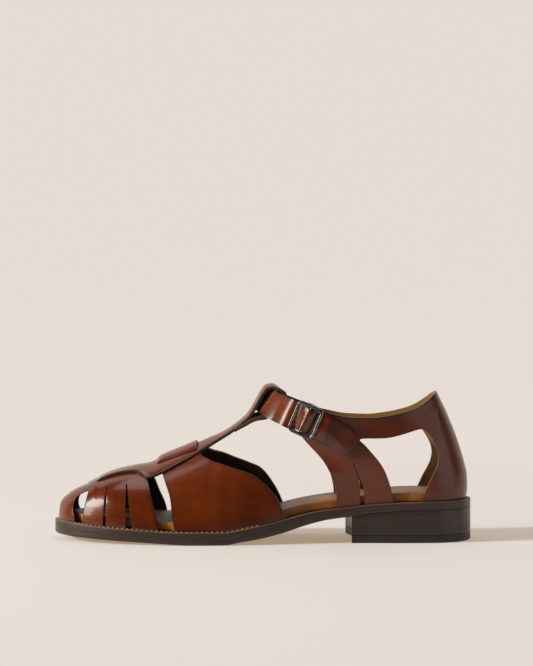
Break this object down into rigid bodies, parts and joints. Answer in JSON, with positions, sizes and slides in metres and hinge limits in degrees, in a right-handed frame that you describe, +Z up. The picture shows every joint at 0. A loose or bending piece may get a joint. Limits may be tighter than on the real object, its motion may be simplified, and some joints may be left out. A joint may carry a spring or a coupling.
{
  "type": "fisherman sandal",
  "caption": "Left T-bar fisherman sandal: woven leather upper open at toe, sides and heel, buckled ankle strap, thin leather sole, low stacked heel.",
  "frame": {"origin": "on the floor, under the middle of the shoe's box", "axes": "+X from the toe to the heel, -Y towards the outer side of the foot, +Z up"},
  "size_m": [0.2614, 0.0864, 0.0978],
  "materials": {
    "upper_leather": "polished smooth calf leather, red-brown, with dark painted edges",
    "insole_leather": "tan leather, glossy on top",
    "sole_leather": "dark brown burnished sole leather",
    "rubber": "near-black rubber",
    "buckle_metal": "polished gunmetal"
  },
  "bodies": {
    "root": {"outsole": "sole_leather", "heel_block": "sole_leather", "top_piece": "rubber", "insole": "insole_leather", "upper_front": "upper_leather", "upper_quarter": "upper_leather", "ankle_strap": "upper_leather", "buckle_frame": "buckle_metal"}
  },
  "joints": []
}
